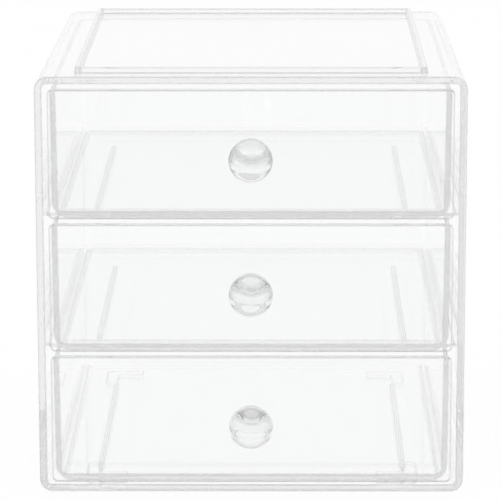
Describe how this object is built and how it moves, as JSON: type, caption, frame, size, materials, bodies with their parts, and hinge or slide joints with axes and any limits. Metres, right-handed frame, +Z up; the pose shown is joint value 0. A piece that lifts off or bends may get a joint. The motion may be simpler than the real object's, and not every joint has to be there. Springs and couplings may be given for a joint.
{
  "type": "cosmetic organizer box",
  "caption": "Clear plastic stackable cosmetic organizer: an open-fronted case with pull-out drawers, each with a round ball knob.",
  "frame": {"origin": "bottom centre of the closed organizer's box, knobs included, level with the soles of the feet", "axes": "+Z up, +X to the right of someone facing the drawers, -Y out of the fronts; the drawers slide along -Y"},
  "size_m": [0.172, 0.205, 0.1758],
  "materials": {
    "clear_case": "clear crystal plastic, polished",
    "clear_drawer": "clear crystal plastic, polished",
    "clear_knob": "clear cast ball, polished"
  },
  "bodies": {
    "case": {"case": "clear_case"},
    "drawer_bottom": {"drawer_bottom": "clear_drawer", "knob_bottom": "clear_knob"},
    "drawer_middle": {"drawer_middle": "clear_drawer", "knob_middle": "clear_knob"},
    "drawer_top": {"drawer_top": "clear_drawer", "knob_top": "clear_knob"}
  },
  "joints": [
    {"name": "slide_bottom", "type": "slide", "parent": "case", "child": "drawer_bottom", "axis": [0, -1, 0], "range_m": [0, 0.123]},
    {"name": "slide_middle", "type": "slide", "parent": "case", "child": "drawer_middle", "axis": [0, -1, 0], "range_m": [0, 0.123]},
    {"name": "slide_top", "type": "slide", "parent": "case", "child": "drawer_top", "axis": [0, -1, 0], "range_m": [0, 0.123]}
  ]
}
